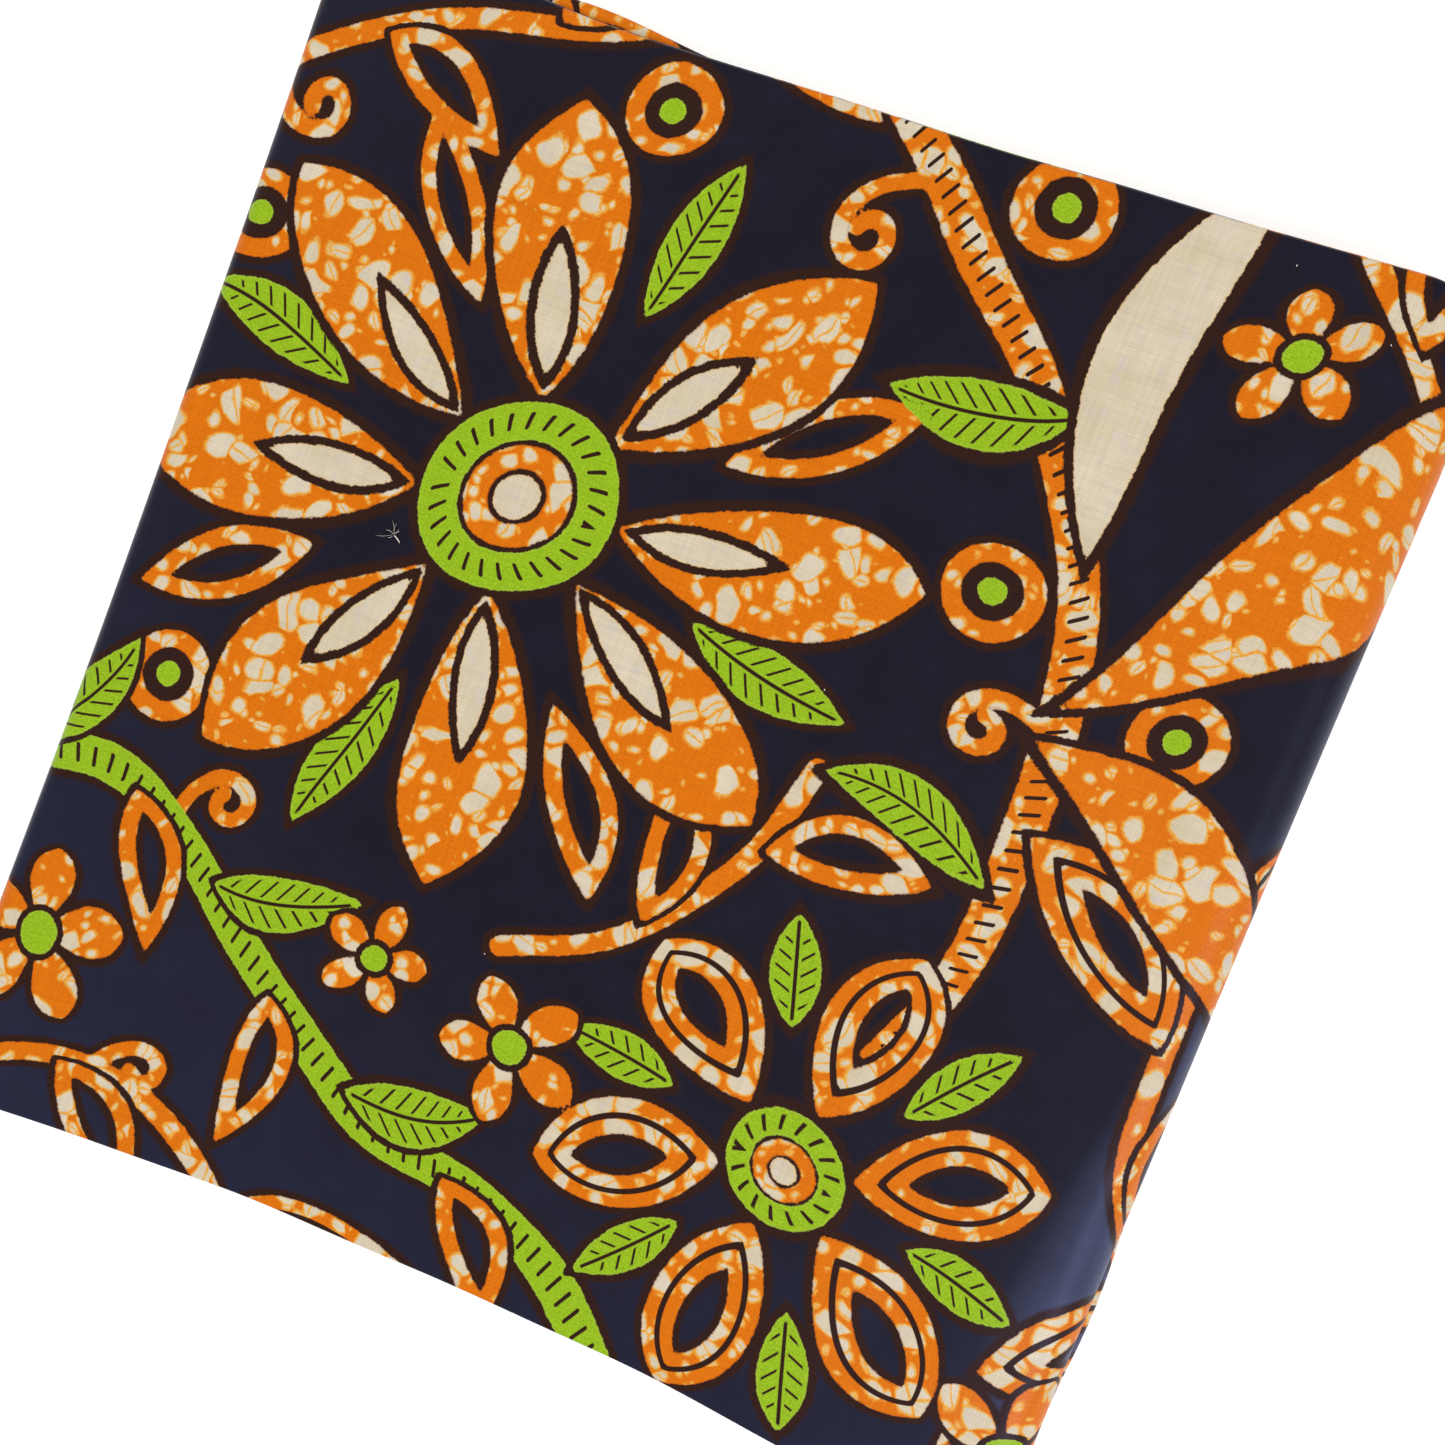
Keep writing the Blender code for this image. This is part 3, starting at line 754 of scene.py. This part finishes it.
def waxPrintedCotton(name):
    # Wax-printed cotton: a close plain weave, resist-dyed, with bubbles and veins where
    # the wax cracked. Dense matt colours, a faint sheen where it bends to the light, some of it painted.
    material = newMaterial(name, waxPrint["surface"])
    tree = material.node_tree
    node = functools.partial(addNode, tree)
    colours = waxPrint["colours"]
    place = node("VectorMath SCALE", node("UVMap", uv_map="cloth"), 1000.0)  # millimetres
    placeX, placeY, _ = node("SeparateXYZ", place).outputs
    *layers, strokePlace, strokeKind = (
        node("Attribute", attribute_name=key).outputs["Vector"]
        for key in (*printPlan["layers"], "strokePlace", "strokeKind"))

    # the inks' edges waver a little, where the dye crept along the threads
    fine, slow = (node("TexNoise", place, scale, 1.0, 0.5) for scale in (1.3, 0.33))
    *wavers, bubbleWaver = (node("MapRange", noise, 0.3, 0.7, -most, most)
                            for noise, most in zip((fine, slow, fine), waxPrint["wavers"]))
    waver = node("ADD", *wavers)
    distances = [node("SeparateXYZ", node("VectorMath ADD", layer, waver)).outputs for layer in layers]
    least = functools.partial(functools.reduce, functools.partial(node, "MINIMUM"))
    closest = [least(row) for row in distances]

    # bubbles: in each cell an oval of its own size and heading, cut short where it meets
    # the next; a few are split along their length
    drift = node("TexNoise", place, 0.12, 1.0, 0.5).outputs["Color"]
    moved = node("VectorMath ADD", place, node("VectorMath MULTIPLY", drift, (5.0, 5.0, 0.0)))
    splitFrom = waxPrint["splitDraw"]
    bubbles = []
    for cell, gap, draw, smallest, largest, shift in waxPrint["bubbles"]:
        at = node("VectorMath ADD", moved, (shift, -shift, 0.0))
        cells, rims = (node("TexVoronoi", at, 1 / cell, feature=feature, voronoi_dimensions="2D")
                       for feature in ("F1", "DISTANCE_TO_EDGE"))
        sizeDraw, headingDraw, splitDraw = node("SeparateXYZ", cells.outputs["Color"]).outputs
        angle = node("MULTIPLY", headingDraw, 2 * math.pi)
        heading = node("CombineXYZ", node("COSINE", angle), node("SINE", angle))
        offset = node("VectorMath SUBTRACT", at, cells.outputs["Position"])
        along = node("VectorMath DOT_PRODUCT", offset, heading)
        reach = node("VectorMath DOT_PRODUCT", offset, offset)
        alongSquare = node("MULTIPLY", along, along)
        across = node("SQRT", node("SUBTRACT", reach, alongSquare))
        oval = node("SQRT", node("MULTIPLY_ADD", alongSquare, -waxPrint["longer"], reach))
        radius = node("MapRange", sizeDraw, draw, 1.0, smallest, largest, clamp=False)
        inOval = node("SUBTRACT", radius, oval)
        inCell = node("MULTIPLY_ADD", rims, cell, -gap)
        whole = node("MapRange", splitDraw, splitFrom, splitFrom + 0.01, 9.0, 0.0)
        halves = node("ADD", across, node("SUBTRACT", whole, waxPrint["splitHalf"]))
        bubbles.append(least((inOval, inCell, halves)))
    large, small = bubbles
    clear = node("MULTIPLY_ADD", large, -1.0, -waxPrint["bubbleGap"])
    bubble = node("MAXIMUM", large, node("MINIMUM", small, clear))
    bubble = node("ADD", bubble, bubbleWaver)

    # the inks, and the ground with its painted sheen: bluer away from the middle, with a slow random
    # tone, and paler along the round fold
    slow, grain = (node("MapRange", node("TexNoise", place, *noise), 0.35, 0.65)
                   for noise in ((0.07, 3.0, 0.6), (1.9, 2.0, 0.7)))
    smudge = node("MapRange", node("TexNoise", place, 0.24, 3.0, 0.65), 0.54, 0.72, 0.0, 0.6)
    # painted sheen: the ground goes towards its bluer navy with the distance from (30, 60) mm, and a slow
    # random tone is added
    away = node("VectorMath LENGTH", node("VectorMath ADD", place, (-30.0, -60.0, 0.0)))
    sheenAndTone = node("ADD", node("MapRange", away, 130.0, 240.0, 0.0, 0.85),
                 node("MapRange", slow, 0.0, 1.0, -0.05, 0.15), use_clamp=True)
    ground = node("Mix RGBA", sheenAndTone, *colours["navy"])
    # painted sheen: the ground is mixed towards a paler, bluer navy along the round fold, most of all
    # towards the near side
    sheenBand = waxPrint["foldSheen"]
    fromFold = node("ABSOLUTE", node("SUBTRACT", placeX, sheenBand["at"]))
    nearness = node("POWER", node("MapRange", placeY, *sheenBand["along"], 1.0, 0.0), 1.5)
    foldSheen = node("SUBTRACT", node("MapRange", nearness, 0.0, 1.0, *sheenBand["shares"]),
                  node("MapRange", fromFold, 0.0, sheenBand["reach"]), use_clamp=True)
    foldSheen = node("MULTIPLY", foldSheen, node("MapRange", slow, 0.0, 1.0, 0.8, 1.1))
    ground = node("Mix RGBA", foldSheen, ground, colours["navySheen"])
    outline, orange, lime = (node("Mix RGBA", grain, *colours[ink])
                             for ink in ("outline", "orange", "lime"))
    cream = node("Mix RGBA", slow, *colours["cream"])
    cream = node("Mix RGBA", smudge, cream, colours["smudge"])
    soft = waxPrint["inkSoft"]
    waxed = node("Mix RGBA", node("MapRange", bubble, -0.68, -0.18), orange, colours["halo"])
    waxed = node("Mix RGBA", node("MapRange", bubble, -soft, soft), waxed, cream)

    # the layers over the ground, into which the outline fades softly
    width = printPlan["outline"]
    fade = node("MapRange", least(closest), width - 0.1, width + 0.7, 0.95, 0.0)
    colour = node("Mix RGBA", fade, ground, outline)
    inks = ((waxed, "orangeEdge"), (lime, "limeEdge"), (cream, "halo"))
    for row, near in zip(distances, closest):
        rim = node("MapRange", near, width - soft, width + soft, 1.0, 0.0)
        colour = node("Mix RGBA", rim, colour, outline)
        for distance, (ink, tint) in zip(row, inks):
            atEdge = node("MapRange", distance, -0.40, 0.0, 0.0, 0.45)
            tinted = node("Mix RGBA", atEdge, ink, colours[tint])
            inside = node("MapRange", distance, -soft, soft, 1.0, 0.0)
            colour = node("Mix RGBA", inside, colour, tinted)

    # the printer's strokes: round-ended ticks across a band, a leaf's midrib and side
    # veins, and the line that splits a band in two
    along, across, _ = node("SeparateXYZ", strokePlace).outputs
    side = node("ABSOLUTE", across)
    tick, vein, middle = waxPrint["tick"], waxPrint["vein"], waxPrint["middle"]
    soft = waxPrint["strokeSoft"]
    step, rib = (node("PINGPONG", node("MULTIPLY_ADD", away, row["slant"], along), row["pitch"] / 2)
                 for away, row in ((across, tick), (side, vein)))
    past = node("MAXIMUM", node("SUBTRACT", side, tick["straight"]), 0.0)
    fromTick = node("VectorMath LENGTH", node("CombineXYZ", step, past))
    tickMark = node("MapRange", fromTick, tick["half"] - soft, tick["half"] + soft, 1.0, 0.0)
    rib = node("MapRange", rib, vein["half"] - soft, vein["half"] + soft, 1.0, 0.0)
    rib = node("MULTIPLY", rib, node("MapRange", side, 0.9, 1.1))
    rib = node("MAXIMUM", rib, node("MapRange", side, 0.32, 0.48, 1.0, 0.0))
    halved = node("MapRange", side, middle - 0.1, middle + 0.1, 1.0, 0.0)
    kinds = node("SeparateXYZ", strokeKind).outputs
    tickMark, rib, halved = (
        node("MULTIPLY", mark, node("MapRange", kind, *fadeIn))
        for mark, kind, fadeIn in zip((tickMark, rib, halved), kinds, waxPrint["fadeIn"]))
    stroke = node("MAXIMUM", node("MAXIMUM", tickMark, rib), halved)
    colour = node("Mix RGBA", stroke, colour, outline)

    # the weave: threads both ways, and the thicker and thinner ones among them
    waves = [node("COSINE", node("MULTIPLY", axis, math.pi / waxPrint["thread"]))
             for axis in (placeX, placeY)]
    crossing = node("POWER", node("ABSOLUTE", node("MULTIPLY", *waves)), 0.5)
    slub = node("ADD", *(node("TexNoise", node("VectorMath MULTIPLY", place, stretch), 1.0, 1.0, 0.5)
                         for stretch in ((0.05, 1.25, 1.0), (1.25, 0.05, 1.0))))
    most = waxPrint["slubShade"]
    shade = node("ADD", node("MapRange", crossing, 0.0, 1.0, *waxPrint["threadShade"]),
                 node("MapRange", slub, 0.7, 1.3, -most, most))
    relief = node("MULTIPLY_ADD", slub, 0.5, crossing)
    bump = node("Bump", *waxPrint["bump"], None, relief)
    colour = node("VectorMath MULTIPLY", colour, shade)
    setSockets(tree, "Principled BSDF", {"Base Color": colour, "Normal": bump})
    return material


def cottonLint(name):
    # Cotton lint: loose undyed fibres shed in cutting, off-white and quite without gloss
    material = newMaterial(name, {"Roughness": 0.9, "Specular IOR Level": 0.1})
    tree = material.node_tree
    flecks = addNode(tree, "TexNoise", addNode(tree, "TexCoord").outputs["Object"], 900.0, 1.0, 0.5)
    colour = addNode(tree, "Mix RGBA", flecks, "#d9cdb6", "#f4efe4")
    setSockets(tree, "Principled BSDF", {"Base Color": colour})
    return material


cotton = waxPrintedCotton("waxPrintedCotton")
lintFibre = cottonLint("cottonLint")
print("materials are made")

# Pieces


def finishPiece(piece, node, thickness=0.0):
    piece.data.materials.append(cotton)
    if thickness:
        wall = piece.modifiers.new("cloth", "SOLIDIFY")
        wall.thickness = thickness
        wall.offset = 0.0
    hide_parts(node)
    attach(piece, "root")
    print(piece.name, "has", len(piece.data.polygons), "quads")
    return piece


def innerPiece(made):
    # surfaces joined to one piece of the inside, in which each is as thick as a ply
    with bpy.context.temp_override(active_object=made[0], selected_editable_objects=made):
        bpy.ops.object.join()
    return finishPiece(made[0], "inner_layers", packet["ply"])


# shells of the outermost ply: the layers they run through, with spacings in millimetres,
# and come from or go on into, their rows across the strip and their turns in at its edges
shells = {
    "topPanel": {"node": "outer_wrap", "through": {18: 1.1, 1: 1.02, 14: 0.8}, "into": 4,
                 "rows": 276, "tuck": [0.002, 0.005, 0.008]},
    "underside": {"node": "outer_wrap", "through": {8: 1.7}, "rows": 167, "tuck": [0.003, 0.007]},
    "lowerLeftFold": {"node": "inner_layers", "from": 5, "through": {56: 0.6}, "into": 6,
                      "rows": 120, "tuck": [0.003, 0.007]},
}
hiddenReach = np.array([0.002, 0.005, 0.008, 0.012])  # of a shell inside the packet


def makeShell(name):
    # one ply's surface along the path, close-set on the bends, from fold to fold
    row = shells[name]
    lengths = [evenly(runEnd(k), runEnd(k, 1.0), spacing * mm) for k, spacing in row["through"].items()]
    if "from" in row:
        lengths.append(runEnd(row["from"], 1.0) - hiddenReach)
    if "into" in row:
        lengths.append(runEnd(row["into"]) + hiddenReach)
    lengths = np.unique(np.concatenate(lengths).round(7))
    surface = clothSurface(name, lengths, fullPly(row["rows"], row["tuck"]), bakeMap=True)
    return finishPiece(surface, row["node"])


panel, under, low = (makeShell(name) for name in shells)


def foldsAlong(name, profiles, stretches):
    # each profile carried along its stretches of the path, as one piece
    made = []
    for profile, spans in zip(profiles, stretches):
        for start, stop in spans:
            bends = [evenly(first, last, layerEdges["bendSpacing"])
                     for first, last, piece in zip(starts, starts[1:], path)
                     if "bend" in piece and start <= first and last <= stop]
            lengths = np.concatenate([evenly(start, stop, layerEdges["spacing"])] + bends)
            made.append(clothSurface(name, np.unique(lengths.round(7)), profile))
    return innerPiece(made)


whole = [(0.0, pathEnd)]
hidden = hiddenReach[-1]
outerOnly = [(runEnd(4) + hidden, runEnd(5, 1.0) - hidden), (runEnd(6) + hidden, pathEnd)]
depth = layerEdges["depth"]
far = foldsAlong("farFolds", [
    edgeFold(1, "a", "d", 0.0, plyHeights["a"], depth, depth[::-1], layerEdges["farSteps"]),
    edgeFold(1, "b", "c", 0.0, plyHeights["b"], depth, depth[::-1], layerEdges["nearSteps"]),
], [outerOnly, whole])


def selvedge(ply, inset):
    # a ply that ends short of the near edge, its last millimetres a little wavy
    inward = np.array(depth[:2] + [0.004, inset])
    ripple = np.array([0.0, 0.0, 0.00003, -0.00004])
    return profileRows(0.0, inward, plyHeights[ply] + ripple, plyPlace(ply, inward, -1))


near = foldsAlong("nearFolds", [
    edgeFold(-1, "b", "a", nearMiddle, nearRadius, depth, depth[::-1], layerEdges["nearSteps"]),
    selvedge("c", 0.0015),
    selvedge("d", 0.0022),
], [outerOnly, whole, whole])

openEnds = {"depth": 0.010, "steps": 6, "rows": 120}


def endStrips():
    # the plies' cut ends between the edge folds, for the eighth and the seventh layer
    t = np.linspace(0, 1, openEnds["rows"])
    inset = depth[0] + nearRadius
    reach = np.linspace(0, openEnds["depth"], openEnds["steps"])
    made = []
    for lengths, plies in ((runEnd(8) + reach, "bcd"), ((runEnd(7, 1.0) - reach)[::-1], "abcd")):
        for ply in plies:
            places = between(plyPlace(ply, inset, -1), plyPlace(ply, inset, 1), t)
            rows = profileRows(t, between(inset, -inset, t), plyHeights[ply], places)
            made.append(clothSurface("openEnds", lengths, rows))
    return innerPiece(made)


ends = endStrips()

# loose lint on the top panel, a little tuft and a few specks: places in millimetres on the
# cloth, then for each fibre its heading in degrees, its length, its curl and its thickness
lint = {
    "sides": 5, "steps": 8, "lift": 0.00010,
    "fibres": [
        ((-72.3, 17.3), -33, 2.6, 0.15, 0.28), ((-72.3, 17.4), 202, 4.6, 0.3, 0.05),
        ((-72.3, 17.4), 118, 3.4, -0.3, 0.05), ((-72.3, 17.3), 95, 2.9, 0.25, 0.04),
        ((-72.3, 17.3), 41, 1.7, 0.3, 0.06), ((-72.3, 17.3), 172, 2.3, -0.4, 0.08),
        ((-72.4, 17.2), 222, 1.4, 0.3, 0.07), ((-72.2, 17.4), 70, 1.6, -0.2, 0.05),
    ],
    "specks": [(64.6, 128.6), (78.3, 132.8), (88.9, 135.0), (112.2, 125.0), (125.1, 112.0),
               (130.4, -50.6), (-18.0, -66.0), (31.0, 18.0)],
    "speckTurn": 40, "speck": (0.42, 0.0, 0.26),
}


def fibreSurface(at, heading, length, curl, thickness):
    # a fibre on the cloth: a thin tube round a bowed line, at(t) = start + t * length along
    # the heading + curl * sin(pi t) across it, its radius falling to nothing at both ends
    t = np.linspace(0, 1, lint["steps"])
    u, v = turned(t * length, curl * np.sin(np.pi * t), -heading)
    share = ((at[1] + v) * mm + halfDepth) / (2 * halfDepth)
    height = packet["halfStrip"] + lint["lift"] + 0.4 * mm * thickness
    line = clothPoints(printStart - (at[0] + u) * mm, share, 0.0, height)
    run = np.gradient(line, axis=0)
    run /= np.linalg.norm(run, axis=1, keepdims=True)
    sideways = np.cross(run, (0.0, 0.0, 1.0))
    upwards = np.cross(sideways, run)
    radius = thickness * mm / 2 * np.sqrt(np.sin(np.pi * t).clip(0))
    turn = np.linspace(0, 2 * np.pi, lint["sides"], endpoint=False)[None, :, None]
    outwards = np.cos(turn) * sideways[:, None] + np.sin(turn) * upwards[:, None]
    rings = line[:, None] + radius[:, None, None] * outwards
    index = np.arange(lint["steps"] * lint["sides"]).reshape(-1, lint["sides"])
    beside = np.roll(index, -1, axis=1)
    quads = np.stack([index[:-1], beside[:-1], beside[1:], index[1:]], -1).reshape(-1, 4)
    return rings.reshape(-1, 3), quads


def lintPiece():
    specks = [(at, lint["speckTurn"] * k, *lint["speck"]) for k, at in enumerate(lint["specks"])]
    points, quads = [], []
    for k, row in enumerate(lint["fibres"] + specks):
        ringPoints, ringQuads = fibreSurface(*row)
        quads.append(ringQuads + k * len(ringPoints))
        points.append(ringPoints)
    mesh = newMesh("lintSpecks", np.vstack(points), np.vstack(quads))
    form = bmesh.new()
    form.from_mesh(mesh)
    bmesh.ops.remove_doubles(form, verts=form.verts, dist=1e-7)
    bmesh.ops.recalc_face_normals(form, faces=form.faces)
    form.to_mesh(mesh)
    form.free()
    mesh.materials.append(lintFibre)
    piece = addObject("lintSpecks", mesh)
    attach(piece, "root")
    return piece


print("lint has", len(lintPiece().data.polygons), "faces")

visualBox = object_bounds()
for name, box in (("CAD", cadBox), ("visual", visualBox)):
    print("the", name, "box:", [[round(c, 5) for c in corner] for corner in box])
